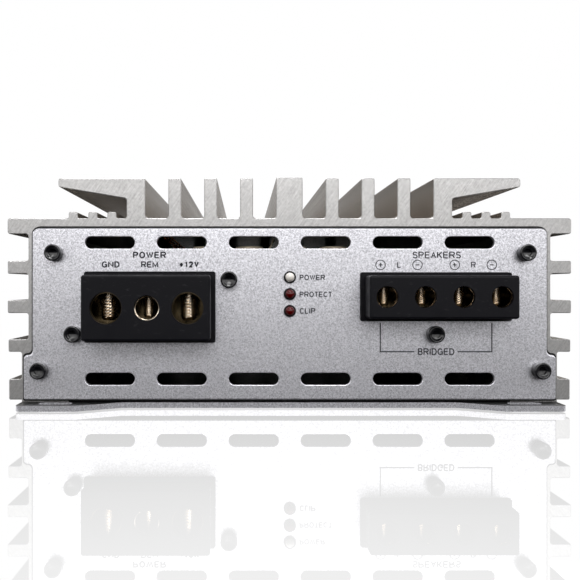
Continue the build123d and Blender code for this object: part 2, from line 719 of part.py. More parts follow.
x, z = remote_place
remote_end = panel_face + 0.8
remote_cavity_floor = remote_end - remote_cavity_depth
remote_size = (2 * remote_half[0], 2 * remote_half[1])
remote = rounded_box_y(remote_place, remote_size, half_length - 0.5, remote_end, 0.7)
remote += block(x - 8.5, x + 8.5, board_rear, half_length - 0.5, z - 8.0, z + 8.0)
remote -= block(x - remote_cavity_half[0], x + remote_cavity_half[0], remote_cavity_floor, remote_end,
                z - remote_cavity_half[1], z + remote_cavity_half[1])
nodes["remote_level_port"] = [remote]
nodes["component_leads"] += [
    block(x - 2.0 + k - 0.2, x - 2.0 + k + 0.2, remote_cavity_floor, remote_end - 3.0, z + 2.9, z + 3.3)
    + block(x - 2.0 + k - 0.2, x - 2.0 + k + 0.2, remote_cavity_floor, remote_cavity_floor + 0.4, z + 2.9,
            z + remote_cavity_half[1])
    for k in range(5)
]

# ---------------------------------------------------------------- output
os.makedirs("parts", exist_ok=True)
for name, shapes in nodes.items():
    solids = [solid for shape in shapes for solid in shape.solids()]
    result = solids[0] if len(solids) == 1 else Compound(children=solids)
    export_step(result, f"parts/{name}.step")
print(len(nodes), "nodes")
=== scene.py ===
import json
import math

import bmesh
import bpy
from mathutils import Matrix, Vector


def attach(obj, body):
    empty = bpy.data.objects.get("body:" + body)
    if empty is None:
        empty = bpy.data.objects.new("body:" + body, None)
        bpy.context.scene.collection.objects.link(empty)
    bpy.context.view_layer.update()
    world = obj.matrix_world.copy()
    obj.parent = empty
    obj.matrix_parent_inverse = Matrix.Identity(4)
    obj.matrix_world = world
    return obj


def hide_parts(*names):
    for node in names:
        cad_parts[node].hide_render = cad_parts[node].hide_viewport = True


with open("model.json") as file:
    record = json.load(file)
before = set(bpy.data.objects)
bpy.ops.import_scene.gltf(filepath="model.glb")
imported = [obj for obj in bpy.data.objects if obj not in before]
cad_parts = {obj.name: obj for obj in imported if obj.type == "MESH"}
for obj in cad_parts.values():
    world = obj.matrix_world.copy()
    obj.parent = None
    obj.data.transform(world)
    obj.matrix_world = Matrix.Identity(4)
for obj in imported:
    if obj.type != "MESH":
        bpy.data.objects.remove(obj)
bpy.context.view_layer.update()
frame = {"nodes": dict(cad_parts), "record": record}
nodes = frame["nodes"]
scene = bpy.context.scene
MM = 0.001
PANEL_FACE = -126.5
CLAMP_Y = -130.2
TOP_EDGE = 0.058    # height in metres above which a panel's rounded edge is its top edge
POWER_LIP = -135.6
SPEAKER_LIP = -135.5
INK = 0.03


# ------------------------------------------------------------------ node helpers
class Shade:
    """A material whose node graph is built with a few short calls, on the shared frame in metres."""

    def __init__(self, name, colour=(0.5, 0.5, 0.5), metallic=0.0, roughness=0.5):
        self.material = bpy.data.materials.new(name)
        self.material.use_nodes = True
        self.tree = self.material.node_tree
        self.shader = self.tree.nodes["Principled BSDF"]
        self.coords = self.tree.nodes.new("ShaderNodeTexCoord")
        self.set("Base Color", (*colour, 1.0))
        self.set("Metallic", metallic)
        self.set("Roughness", roughness)

    def set(self, socket, value):
        self.shader.inputs[socket].default_value = value

    def link(self, output, socket):
        self.tree.links.new(output, self.shader.inputs[socket])

    def node(self, kind, inputs=(), **settings):
        made = self.tree.nodes.new(kind)
        for key, value in settings.items():
            setattr(made, key, value)
        for index, value in enumerate(inputs):
            if value is None:
                continue
            if hasattr(value, "is_linked"):
                self.tree.links.new(value, made.inputs[index])
            else:
                made.inputs[index].default_value = value
        return made

    def math(self, operation, *inputs):
        return self.node("ShaderNodeMath", inputs, operation=operation).outputs[0]

    def stretched(self, x, y, z):
        """The object's coordinates in metres, each multiplied."""
        made = self.node("ShaderNodeVectorMath", (self.coords.outputs["Object"], (x, y, z)),
                         operation="MULTIPLY")
        return made.outputs[0]

    def along(self, direction, across, scale_along, scale_across):
        """Coordinates for marks that run along one direction."""
        object_space = self.coords.outputs["Object"]
        a = self.node("ShaderNodeVectorMath", (object_space, [v * scale_along for v in direction]),
                      operation="DOT_PRODUCT").outputs["Value"]
        b = self.node("ShaderNodeVectorMath", (object_space, [v * scale_across for v in across]),
                      operation="DOT_PRODUCT").outputs["Value"]
        return self.node("ShaderNodeCombineXYZ", (a, b, 0.0)).outputs[0]

    def noise(self, vector, scale=1.0, detail=2.0, roughness=0.5):
        made = self.node("ShaderNodeTexNoise")
        self.tree.links.new(vector, made.inputs["Vector"])
        made.inputs["Scale"].default_value = scale
        made.inputs["Detail"].default_value = detail
        made.inputs["Roughness"].default_value = roughness
        return made.outputs[0]

    def spread(self, value, from_low, from_high, to_low, to_high):
        made = self.node("ShaderNodeMapRange", (value, from_low, from_high, to_low, to_high))
        return made.outputs[0]

    def blend(self, factor, first, second, mode="MIX"):
        made = self.node("ShaderNodeMix", data_type="RGBA", blend_type=mode)
        for key, value in ((0, factor), (6, first), (7, second)):
            if hasattr(value, "is_linked"):
                self.tree.links.new(value, made.inputs[key])
            elif key == 0:
                made.inputs[0].default_value = value
            else:
                made.inputs[key].default_value = (*value, 1.0)
        return made.outputs[2]

    def facing(self, axis, limit=0.7):
        """1 where the surface faces along the axis, either way."""
        split = self.node("ShaderNodeSeparateXYZ", (self.coords.outputs["Normal"],))
        return self.math("GREATER_THAN", self.math("ABSOLUTE", split.outputs[axis]), limit)

    def bump(self, height, strength, distance):
        made = self.node("ShaderNodeBump")
        made.inputs["Strength"].default_value = strength
        made.inputs["Distance"].default_value = distance
        self.tree.links.new(height, made.inputs["Height"])
        self.link(made.outputs[0], "Normal")


# ------------------------------------------------------------------ materials
def metal_extrusion():
    """Slanting saw marks and a fine grain on the cut ends, die lines along the length."""
    s = Shade("extruded_aluminium", metallic=0.82, roughness=0.4)
    cut = s.facing("Y")
    saw = s.noise(s.along((0.57, 0, 0.82), (0.82, 0, -0.57), 160, 3600), 1.0, 3.0, 0.7)
    grain = s.noise(s.stretched(1, 1, 1), 1500, 2.0, 0.6)
    die = s.noise(s.stretched(1600, 9, 1600), 1.0, 2.0, 0.55)
    cloud = s.noise(s.stretched(60, 12, 60), 1.0, 3.0, 0.6)
    saw_mix = s.math("ADD", s.math("MULTIPLY", saw, 0.65), s.math("MULTIPLY", grain, 0.35))
    saw_tone = s.spread(saw_mix, 0.34, 0.66, 0.0, 1.0)
    die_tone = s.spread(s.math("ADD", s.math("MULTIPLY", die, 0.6), s.math("MULTIPLY", cloud, 0.4)),
                        0.3, 0.7, 0.0, 1.0)
    ends = s.blend(saw_tone, (0.29, 0.286, 0.283), (0.52, 0.516, 0.512))
    sides = s.blend(die_tone, (0.44, 0.40, 0.355), (0.58, 0.535, 0.485))
    s.link(s.blend(cut, sides, ends), "Base Color")
    rough_ends = s.spread(saw_tone, 0.0, 1.0, 0.40, 0.30)
    rough_sides = s.spread(die_tone, 0.0, 1.0, 0.26, 0.17)
    mixed = s.node("ShaderNodeMix", data_type="FLOAT")
    for index, value in ((0, cut), (2, rough_sides), (3, rough_ends)):
        s.tree.links.new(value, mixed.inputs[index])
    s.link(mixed.outputs[0], "Roughness")
    height = s.node("ShaderNodeMix", data_type="FLOAT")
    for index, value in ((0, cut), (2, die_tone), (3, saw_tone)):
        s.tree.links.new(value, height.inputs[index])
    s.bump(height.outputs[0], 0.35, 0.00005)
    return s.material


def speckled_paint(name, top_shade_factor=1.0):
    """Silver paint with fine flakes and a slight orange peel; the upper side may be darkened with painted
    shade.
    """
    s = Shade(name, metallic=0.8, roughness=0.42)
    flake = s.noise(s.stretched(1, 1, 1), 3000, 2.0, 0.65)
    coarse = s.noise(s.stretched(1, 1, 1), 1500, 2.0, 0.6)
    tone = s.math("ADD", s.math("MULTIPLY", flake, 0.6), s.math("MULTIPLY", coarse, 0.4))
    tone = s.spread(tone, 0.36, 0.64, 0.0, 1.0)
    paint = s.blend(tone, (0.38, 0.38, 0.41), (0.85, 0.85, 0.90))
    # painted shade: faces that look up get a darker, patchy copy of the paint
    if top_shade_factor < 1.0:
        split = s.node("ShaderNodeSeparateXYZ", (s.coords.outputs["Normal"],))
        top_shade_patches = s.spread(coarse, 0.45, 0.65, 0.7, 1.6)
        top_shade = s.blend(tone, [0.34 * top_shade_factor] * 3, [0.80 * top_shade_factor] * 3)
        top_shade = s.blend(1.0, top_shade, s.node("ShaderNodeCombineXYZ", (top_shade_patches, top_shade_patches, top_shade_patches)).outputs[0], "MULTIPLY")
        paint = s.blend(s.math("GREATER_THAN", split.outputs["Z"], 0.7), paint, top_shade)
    # painted shade: faces that look into the case are painted near black, for the dark inside of the case
    place = s.node("ShaderNodeSeparateXYZ", (s.coords.outputs["Object"],))
    turned = s.node("ShaderNodeSeparateXYZ", (s.coords.outputs["Normal"],))
    inward = s.math("LESS_THAN", s.math("MULTIPLY", place.outputs["Y"], turned.outputs["Y"]), -0.08)
    paint = s.blend(inward, paint, (0.012, 0.012, 0.013))
    # painted shade: the rounded top edge is darkened to hold back the highlight it catches
    top_edge_shade = s.math("MULTIPLY", s.math("GREATER_THAN", turned.outputs["Z"], 0.2),
                      s.math("GREATER_THAN", place.outputs["Z"], TOP_EDGE))
    paint = s.blend(s.math("MULTIPLY", top_edge_shade, 0.8), paint, (0.05, 0.05, 0.055))
    s.link(paint, "Base Color")
    s.link(s.spread(flake, 0.3, 0.7, 0.42, 0.27), "Roughness")
    peel = s.noise(s.stretched(1, 1, 1), 1300, 2.0, 0.5)
    s.bump(peel, 0.25, 0.00006)
    return s.material


def moulded(name, colour, roughness=0.38, grain=0.00002, scuffs=0.0, specular=0.5):
    """Injection-moulded plastic with a fine grain, and faint rubbed marks where asked."""
    s = Shade(name, colour=colour, roughness=roughness)
    s.set("Specular IOR Level", specular)
    grain_noise = s.noise(s.stretched(1, 1, 1), 4200, 2.0, 0.6)
    cloud = s.noise(s.stretched(1, 1, 1), 260, 3.0, 0.6)
    s.link(s.spread(cloud, 0.3, 0.7, roughness - 0.06, roughness + 0.10), "Roughness")
    if scuffs:
        rubbed = s.noise(s.stretched(420, 420, 900), 1.0, 4.0, 0.7)
        mask = s.spread(rubbed, 0.60, 0.78, 0.0, scuffs)
        s.link(s.blend(mask, colour, tuple(min(1, c + 0.20) for c in colour)), "Base Color")
    else:
        lighter = tuple(min(1, c * 1.15 + 0.004) for c in colour)
        s.link(s.blend(cloud, colour, lighter), "Base Color")
    s.bump(grain_noise, 0.3, grain)
    return s.material


def plated(name, dark, light, roughness=0.28, scale=1800, metallic=1.0):
    """Machined or plated metal with turning marks and slight tarnish."""
    s = Shade(name, metallic=metallic, roughness=roughness)
    marks = s.noise(s.stretched(1, 1, 1), scale, 2.0, 0.5)
    tarnish = s.noise(s.stretched(1, 1, 1), 320, 4.0, 0.65)
    s.link(s.blend(s.spread(tarnish, 0.35, 0.65, 0.0, 1.0), dark, light), "Base Color")
    s.link(s.spread(marks, 0.3, 0.7, 0.75 * roughness, 1.4 * roughness), "Roughness")
    s.bump(marks, 0.15, 0.00002)
    return s.material


def lens(name, colour, transmission, roughness=0.06, coat=0.6):
    s = Shade(name, colour=colour, roughness=roughness)
    s.set("Transmission Weight", transmission)
    s.set("IOR", 1.38)
    s.set("Coat Weight", coat)
    s.set("Coat Roughness", 0.03)
    ripple = s.noise(s.stretched(1, 1, 1), 900, 2.0, 0.5)
    s.bump(ripple, 0.05, 0.00002)
    return s.material


def board_mask():
    """Green solder mask with tracks under it and a glass weave."""
    s = Shade("board_green", roughness=0.35)
    tracks = s.node("ShaderNodeTexBrick")
    s.tree.links.new(s.stretched(1, 1, 1), tracks.inputs["Vector"])
    tracks.inputs["Scale"].default_value = 120
    tracks.inputs["Mortar Size"].default_value = 0.035
    weave = s.noise(s.stretched(1, 1, 1), 1500, 2.0, 0.5)
    tone = s.blend(weave, (0.01, 0.085, 0.03), (0.02, 0.13, 0.05))
    s.link(s.blend(tracks.outputs[1], tone, (0.05, 0.24, 0.09)), "Base Color")
    s.bump(weave, 0.1, 0.00002)
    return s.material


def sleeved(name, sleeve, top):
    """A capacitor: shrunk sleeve on the sides, bare aluminium on the top."""
    s = Shade(name, roughness=0.32)
    split = s.node("ShaderNodeSeparateXYZ", (s.coords.outputs["Normal"],))
    upward = s.math("GREATER_THAN", split.outputs["Z"], 0.75)
    fine = s.noise(s.stretched(1, 1, 1), 700, 3.0, 0.6)
    shade = s.blend(fine, sleeve, tuple(min(1.0, c * 1.25 + 0.01) for c in sleeve))
    s.link(s.blend(upward, shade, top), "Base Color")
    s.link(s.math("MULTIPLY", upward, 0.9), "Metallic")
    s.bump(fine, 0.08, 0.00003)
    return s.material


materials = {
    "extruded_aluminium": metal_extrusion(),
    "silver_paint": speckled_paint("silver_paint"),
    "black_screws": plated("black_screws", (0.004, 0.004, 0.005), (0.010, 0.010, 0.012), 0.1, metallic=0.0),
    "plated_screws": plated("plated_screws", (0.50, 0.48, 0.43), (0.66, 0.63, 0.56), 0.3),
    "clamp_screws": plated("clamp_screws", (0.46, 0.38, 0.29), (0.80, 0.72, 0.62), 0.14),
    # painted shade: the terminal brass is far darker than brass, standing in for the shade inside the bores
    "terminal_brass": plated("terminal_brass", (0.055, 0.043, 0.022), (0.13, 0.10, 0.06), 0.13),
    # the plate's upward faces carry painted shade at a tenth of the paint's brightness
    "plate_paint": speckled_paint("plate_paint", 0.10),
    "black_plastic": moulded("black_plastic", (0.0030, 0.0030, 0.0046), 0.45, scuffs=0.08, specular=0.12),
    # painted shade: the near-black gasket round each panel stands in for the shadow line at the panel's
    # edge
    "gasket_rubber": moulded("gasket_rubber", (0.006, 0.006, 0.006), 0.6, specular=0.15),
    "clear_lens": lens("clear_lens", (0.90, 0.86, 0.81), 0.35),
    "red_lens": lens("red_lens", (0.055, 0.0005, 0.0008), 0.0, 0.10, coat=0.0),
    "dark_bezel": moulded("dark_bezel", (0.005, 0.005, 0.006), 0.5, specular=0.12),
    "board_green": board_mask(),
    "capacitor_sleeve": sleeved("capacitor_sleeve", (0.012, 0.012, 0.02), (0.7, 0.7, 0.68)),
    "cream_sleeve": sleeved("cream_sleeve", (0.78, 0.68, 0.52), (0.8, 0.78, 0.72)),
    "ferrite": moulded("ferrite", (0.03, 0.03, 0.032), 0.55),
    "winding_copper": plated("winding_copper", (0.42, 0.17, 0.07), (0.66, 0.32, 0.15), 0.25),
    "package_black": moulded("package_black", (0.015, 0.015, 0.016), 0.5),
    "tinned_leads": plated("tinned_leads", (0.58, 0.57, 0.55), (0.75, 0.74, 0.71), 0.3),
    "pad_grey": moulded("pad_grey", (0.30, 0.32, 0.34), 0.7),
    "jack_metal": plated("jack_metal", (0.70, 0.55, 0.30), (0.86, 0.72, 0.44), 0.18),
    "jack_white": moulded("jack_white", (0.78, 0.78, 0.75), 0.4),
    "jack_red": moulded("jack_red", (0.45, 0.012, 0.012), 0.4),
    "film_blue": moulded("film_blue", (0.35, 0.06, 0.02), 0.3),
    "shaft_plastic": moulded("shaft_plastic", (0.022, 0.022, 0.024), 0.42),
    "legend_ink": moulded("legend_ink", (0.018, 0.018, 0.024), 0.6, grain=0.00001, specular=0.2),
}
slot_of = {entry["node"]: entry["material_slot"] for entry in frame["record"]["subparts"]}
for name, shown in nodes.items():
    shown.data.materials.clear()
    shown.data.materials.append(materials[slot_of[name]])


# ------------------------------------------------------------------ mesh helpers
def add_piece(name, vertices, faces, slot, body="chassis", smooth=False, stands_for=None):
    mesh = bpy.data.meshes.new(name)
    mesh.from_pydata([[c * MM for c in v] for v in vertices], [], faces)
    mesh.validate()
    mesh.update()
    shaped = bmesh.new()
    shaped.from_mesh(mesh)
    bmesh.ops.recalc_face_normals(shaped, faces=shaped.faces)
    shaped.to_mesh(mesh)
    shaped.free()
    if smooth:
        mesh.polygons.foreach_set("use_smooth", [True] * len(mesh.polygons))
        mesh.set_sharp_from_angle(angle=math.radians(38))
    made = bpy.data.objects.new(name, mesh)
    scene.collection.objects.link(made)
    made.data.materials.append(materials[slot])
    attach(made, body)
    if stands_for:
        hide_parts(stands_for)
    return made


class Build:
    """Gathers vertices and faces for one piece, in millimetres."""

    def __init__(self):
        self.vertices = []
        self.faces = []

    def add(self, vertices, faces):
        start = len(self.vertices)
        self.vertices += [tuple(v) for v in vertices]
        self.faces += [tuple(i + start for i in face) for face in faces]

    def grid(self, rows, closed_rows=True, cap_ends=True):
        """Joins rings of points; each row is one closed ring."""
        count = len(rows[0])
        vertices = [p for row in rows for p in row]
        faces = []
        for r in range(len(rows) - 1):
            for k in range(count):
                n = (k + 1) % count
                if not closed_rows and n == 0:
                    continue
                faces.append((r * count + k, r * count + n, (r + 1) * count + n, (r + 1) * count + k))
        if cap_ends:
            faces.append(tuple(range(count)))
            faces.append(tuple((len(rows) - 1) * count + k for k in range(count)))
        self.add(vertices, faces)

    def tube(self, path, radius, sides=8, closed=False):
        rows = []
        last = len(path) - 1
        normal = None
        for i, point in enumerate(path):
            ahead = path[(i + 1) % len(path)] if closed or i < last else path[i]
            behind = path[i - 1] if closed or i > 0 else path[i]
            tangent = (Vector(ahead) - Vector(behind)).normalized()
            if normal is None:
                normal = tangent.orthogonal().normalized()
            normal = (normal - tangent * normal.dot(tangent)).normalized()
            side = tangent.cross(normal)
            rows.append([
                Vector(point) + radius * (math.cos(t) * normal + math.sin(t) * side)
                for t in (2 * math.pi * k / sides for k in range(sides))
            ])
        if closed:
            rows.append(rows[0])
        self.grid(rows, cap_ends=not closed)

    def piece(self, name, slot, **facts):
        return add_piece(name, self.vertices, self.faces, slot, **facts)


def ring(x, y, z, radius, sides, turn=0.0):
    return [(x + radius * math.cos(turn + 2 * math.pi * k / sides),
             y + radius * math.sin(turn + 2 * math.pi * k / sides), z) for k in range(sides)]


# ------------------------------------------------------------------ clamp screws with real threads
def clamp_screw(name, x, tip, length, radius, pitch, across_flats, body):
    """A cup-point grub screw: helical thread, chamfered ends, hexagon socket."""
    sides = 36
    depth = 0.58 * pitch
    steps = int(length / (pitch / 9))
    rows = []
    cup = 0.55 * radius
    rows.append(ring(x, CLAMP_Y, tip + 0.55, 0.18 * radius, sides))
    rows.append(ring(x, CLAMP_Y, tip + 0.12, cup * 0.8, sides))
    rows.append(ring(x, CLAMP_Y, tip, cup, sides))
    rows.append(ring(x, CLAMP_Y, tip + 0.02, cup + 0.18, sides))
    for i in range(1, steps):
        height = length * i / steps
        row = []
        for k in range(sides):
            turn = 2 * math.pi * k / sides
            phase = (height / pitch - turn / (2 * math.pi)) % 1.0
            wave = min(1.0, max(0.0, 1.55 * abs(2 * phase - 1.0) - 0.2))
            size = radius - depth * (1.0 - wave)
            size = min(size, cup + 0.18 + (height - 0.02) * 1.0, radius - 0.35 + (length - height) * 1.0)
            row.append((x + size * math.cos(turn), CLAMP_Y + size * math.sin(turn), tip + height))
        rows.append(row)
    top = tip + length
    rows.append(ring(x, CLAMP_Y, top, radius - 0.40, sides))
    hexagon = []
    for k in range(sides):
        turn = 2 * math.pi * k / sides
        wedge = (turn % (math.pi / 3)) - math.pi / 6
        hexagon.append(0.5 * across_flats / math.cos(wedge))
    for level in (top, top - 2.4):
        turns = [2 * math.pi * k / sides for k in range(sides)]
        rows.append([(x + reach * math.cos(t), CLAMP_Y + reach * math.sin(t), level)
                     for reach, t in zip(hexagon, turns)])
    rows.append(ring(x, CLAMP_Y, top - 2.8, 0.3, sides))
    made = Build()
    made.grid(rows)
    made.piece(f"{name}_threaded", "clamp_screws", body=body, smooth=True, stands_for=f"{name}_clamp_screw")


ways = (
    ("gnd", -58.3, 33.2, 4.7, 2.95, 12.0, 1.0, 3.0),
    ("rem", -45.5, 33.2, 3.55, 1.95, 10.0, 0.7, 2.0),
    ("supply_12v", -32.7, 33.2, 4.7, 2.95, 12.0, 1.0, 3.0),
    ("speaker_left_plus", 29.8, 36.65, 3.2, 1.95, 8.0, 0.7, 2.0),
    ("speaker_left_minus", 41.8, 36.65, 3.2, 1.95, 8.0, 0.7, 2.0),
    ("speaker_right_plus", 53.8, 36.65, 3.2, 1.95, 8.0, 0.7, 2.0),
    ("speaker_right_minus", 65.8, 36.65, 3.2, 1.95, 8.0, 0.7, 2.0),
)
for name, x, z, bore, radius, length, pitch, flats in ways:
    tip = z - math.sqrt(bore**2 - (radius - 0.64) ** 2) + 0.05
    clamp_screw(name, x, tip, length, radius, pitch, flats, f"{name}_screw")


# ------------------------------------------------------------------ socket cap screws
def cap_screw(made, x, z, face, side, shank):
    """A cap head on the panel with a dished, hexagon socket; side is -1 at the terminal end."""
    sides = 48

    def level(radius, out):
        return [(x + radius * math.cos(2 * math.pi * k / sides), face + side * out,
                 z + radius * math.sin(2 * math.pi * k / sides)) for k in range(sides)]

    def hexagon(flats, out):
        row = []
        for k in range(sides):
            turn = 2 * math.pi * k / sides
            reach = 0.5 * flats / math.cos((turn % (math.pi / 3)) - math.pi / 6)
            row.append((x + reach * math.cos(turn), face + side * out, z + reach * math.sin(turn)))
        return row

    rows = [level(0.9, -shank), level(1.45, -shank + 0.5), level(1.45, 0.0)]
    rows += [level(2.6, 0.0), level(2.75, 0.12)]
    for k in range(6):
        bend = math.radians(18 * k)
        rows.append(level(2.3 + 0.45 * math.cos(bend), 2.55 + 0.45 * math.sin(bend)))
    rows += [level(2.18, 2.985), level(2.02, 2.87), level(1.80, 2.68), level(1.58, 2.46)]
    rows += [hexagon(2.5, 2.40), hexagon(2.46, 2.35), hexagon(2.46, 1.45), level(0.25, 1.15)]
    made.grid(rows)


port_places = ((77.05, 50.95), (81.8, 12.55))
screws = Build()
for hand in (-1, 1):
    for x, z in port_places:
        cap_screw(screws, hand * x, z, PANEL_FACE, -1, 9.8)
        cap_screw(screws, hand * x, z, -PANEL_FACE, 1, 9.8)
screws.piece("panel_cap_screws", "black_screws", smooth=True, stands_for="panel_screws")
screws = Build()
for x, z in ((-70.74, 24.46), (-19.9, 42.2), (47.4, 24.4)):
    cap_screw(screws, x, z, PANEL_FACE, -1, 5.3)
screws.piece("terminal_cap_screws", "black_screws", smooth=True, stands_for="terminal_fixing_screws")


# ------------------------------------------------------------------ wound rings
def winding(name, x, y, radius, bore, width, wire, turns, gap_deg, stands_for):
    """Enamelled wire wound round a ring core that stands on edge, axis along Y."""
    z = 16.5 + radius + 1.5
    inner = bore - wire / 2 - 0.15
    outer = radius + wire / 2 + 0.15
    half = width / 2 + wire / 2 + 0.15
    steps = 28
    path = []
    for i in range(turns * steps + 1):
        around = math.radians(-90 + gap_deg / 2) + math.radians(360 - gap_deg) * i / (turns * steps)
        phase = 2 * math.pi * i / steps
        c, s = math.cos(phase), math.sin(phase)
        squarish = (abs(c) ** 6 + abs(s) ** 6) ** (-1 / 6)
        mid = (inner + outer) / 2
        reach = mid + (outer - inner) / 2 * c * squarish
        path.append((x + reach * math.cos(around), y + half * s * squarish, z + reach * math.sin(around)))
    made = Build()
    made.tube(path, wire / 2, 7)
    made.piece(name, "winding_copper", smooth=True, stands_for=stands_for)


winding("transformer_wire", -40.4, -98.0, 17.8, 8.0, 13.0, 1.25, 34, 40, "transformer_windings")
winding("output_inductor_wire", 46.0, -98.0, 15.0, 7.0, 10.0, 1.15, 30, 30, "output_inductor_windings")

# loose wire ends near the upper vents
leads = Build()
for shift in (0.0, 1.1, 2.4):
    leads.tube([(-38.4 + shift, -108.3, 53.2), (-40.2 + shift, -109.0, 54.6), (-42.4 + shift, -109.6, 56.6),
                (-43.2 + shift, -110.5, 57.3)], 0.3, 8)
leads.piece("transformer_lead_ends", "winding_copper", smooth=True)
leads = Build()
leads.tube([(-6.4, -114.5, 52.4), (-5.9, -114.6, 53.7), (-5.2, -114.8, 55.2), (-4.6, -115.2, 56.8)],
           0.32, 8)
leads.piece("sensor_lead", "cream_sleeve", smooth=True)


def rim_ring(name, x, z, outer, inner, front, depth, slot):
    """Bright chamfered lip round the mouth of a terminal."""
    sides = 56
    rows = []
    for radius, y in ((outer, front + depth), (outer, front + 0.08), (outer - 0.08, front),
                      (inner + 0.12, front + 0.1), (inner, front + 0.3), (inner, front + depth)):
        rows.append([(x + radius * math.cos(2 * math.pi * k / sides), y,
                      z + radius * math.sin(2 * math.pi * k / sides)) for k in range(sides)])
    rows.append(rows[0])
    made = Build()
    made.grid(rows, cap_ends=False)
    made.piece(name, slot, smooth=True)


rim_ring("rem_terminal_lip", -45.5, 33.2, 3.97, 3.56, POWER_LIP, 0.5, "clamp_screws")
for name, x, z, bore, radius, length, pitch, flats in ways[3:]:
    rim_ring(f"{name}_lip", x, z, 3.42, 3.21, SPEAKER_LIP, 0.4, "clamp_screws")


# ------------------------------------------------------------------ printed legends
def bend(cx, cy, rx, ry, first, last, count=10):
    """Points on part of an ellipse, angles in degrees."""
    angles = [math.radians(first + (last - first) * k / count) for k in range(count + 1)]
    return [(cx + rx * math.cos(t), cy + ry * math.sin(t)) for t in angles]


stem = [(0, 0), (0, 1)]
bowl = [(0, 0), (0, 1), (0.6, 1), *bend(0.6, 0.745, 0.4, 0.255, 80, -80), (0.6, 0.49), (0, 0.49)]
# capitals as centre lines in a unit box, with the width of each for a height of 1
glyphs = {
    "A": (0.70, [[(0, 0), (0.5, 1), (1, 0)], [(0.2, 0.36), (0.8, 0.36)]]),
    "B": (0.68, [[(0, 0), (0, 1), (0.6, 1), *bend(0.6, 0.77, 0.34, 0.23, 80, -80), (0.6, 0.54), (0, 0.54)],
                 [(0.6, 0.54), *bend(0.62, 0.27, 0.38, 0.27, 80, -80), (0.62, 0), (0, 0)]]),
    "C": (0.74, [bend(0.52, 0.5, 0.52, 0.5, 42, 318, 20)]),
    "D": (0.74, [[(0, 0), (0, 1), (0.42, 1), *bend(0.42, 0.5, 0.58, 0.5, 80, -80), (0.42, 0), (0, 0)]]),
    "E": (0.70, [stem, [(0, 1), (1, 1)], [(0, 0.52), (0.92, 0.52)], [(0, 0), (1, 0)]]),
    "F": (0.62, [stem, [(0, 1), (1, 1)], [(0, 0.5), (0.86, 0.5)]]),
    "G": (0.78, [bend(0.52, 0.5, 0.52, 0.5, 42, 322, 20), [(0.56, 0.47), (1, 0.47), (1, 0)]]),
    "H": (0.72, [stem, [(1, 0), (1, 1)], [(0, 0.52), (1, 0.52)]]),
    "I": (0.20, [[(0.5, 0), (0.5, 1)]]),
    "K": (0.70, [stem, [(1, 1), (0, 0.36)], [(0.34, 0.6), (1, 0)]]),
    "L": (0.58, [[(0, 1), (0, 0), (1, 0)]]),
    "M": (0.86, [[(0, 0), (0, 1), (0.5, 0.04), (1, 1), (1, 0)]]),
    "N": (0.78, [[(0, 0), (0, 1), (1, 0), (1, 1)]]),
    "O": (0.80, [bend(0.5, 0.5, 0.5, 0.5, 0, 360, 24)]),
    "P": (0.72, [bowl]),
    "R": (0.77, [bowl, [(0.58, 0.49), (0.98, 0)]]),
    "S": (0.68, [bend(0.5, 0.745, 0.45, 0.255, 18, 245, 14) + bend(0.5, 0.255, 0.5, 0.255, 75, -162, 14)]),
    "T": (0.66, [[(0, 1), (1, 1)], [(0.5, 1), (0.5, 0)]]),
    "U": (0.74, [[(0, 1), *bend(0.5, 0.34, 0.5, 0.34, 180, 360, 14), (1, 1)]]),
    "V": (0.70, [[(0, 1), (0.5, 0), (1, 1)]]),
    "W": (0.98, [[(0, 1), (0.26, 0), (0.5, 0.96), (0.74, 0), (1, 1)]]),
    "X": (0.70, [[(0, 0), (1, 1)], [(0, 1), (1, 0)]]),
    "0": (0.60, [bend(0.5, 0.5, 0.5, 0.5, 0, 360, 24)]),
    "1": (0.44, [[(0.0, 0.74), (0.45, 0.80), (0.8, 1), (0.8, 0)]]),
    "2": (0.68, [[*bend(0.5, 0.71, 0.47, 0.29, 170, -38, 14), (0.02, 0.02), (1, 0)]]),
    "6": (0.60, [bend(0.5, 0.31, 0.5, 0.31, 0, 360, 20), bend(0.86, 0.36, 0.86, 0.62, 180, 100)]),
    "+": (0.74, [[(0, 0.44), (1, 0.44)], [(0.5, 0.04), (0.5, 0.86)]]),
    " ": (0.32, []),
}


def ribbon(points, half):
    """Left and right edges of a line of even width, mitred at its corners."""
    left, right = [], []
    last = len(points) - 1
    loop = math.dist(points[0], points[-1]) < 1e-6
    for k, (x, z) in enumerate(points):
        before = points[k - 1] if k else points[-2] if loop else None
        after = points[k + 1] if k < last else points[1] if loop else None
        ways_in = [(x - before[0], z - before[1])] if before else []
        ways_in += [(after[0] - x, after[1] - z)] if after else []
        normals = [(-b / math.hypot(a, b), a / math.hypot(a, b)) for a, b in ways_in]
        nx, nz = (sum(n[0] for n in normals), sum(n[1] for n in normals))
        size = math.hypot(nx, nz)
        nx, nz = nx / size, nz / size
        reach = half * min(2.6, 1 / max(0.2, nx * normals[0][0] + nz * normals[0][1]))
        left.append((x + nx * reach, z + nz * reach))
        right.append((x - nx * reach, z - nz * reach))
    return left, right


def lettering(name, text, left, right, bottom, top, face, weight=0.17, facing=-1):
    """Words on a panel, as thin raised ink. left and right are X in mm as the reader sees them."""
    space = 0.10
    length = sum(glyphs[c][0] + space for c in text) - space
    across = (right - left) / length
    tall = top - bottom
    made = Build()
    pen = 0.0
    half = weight / 2
    for letter in text:
        width, strokes = glyphs[letter]
        for stroke in strokes:
            line = [(half + u * (width - weight), half + v * (1 - weight)) for u, v in stroke]
            edges = ribbon(line, half)
            corners = [(min(width, max(0.0, x)), min(1.0, max(0.0, z))) for edge in edges for x, z in edge]
            count = len(line)
            made.add([(left + (pen + x) * across, face, bottom + z * tall) for x, z in corners],
                     [(k, k + 1, count + k + 1, count + k) for k in range(count - 1)])
        pen += width + space
    solid_ink(name, made.vertices, made.faces, facing)


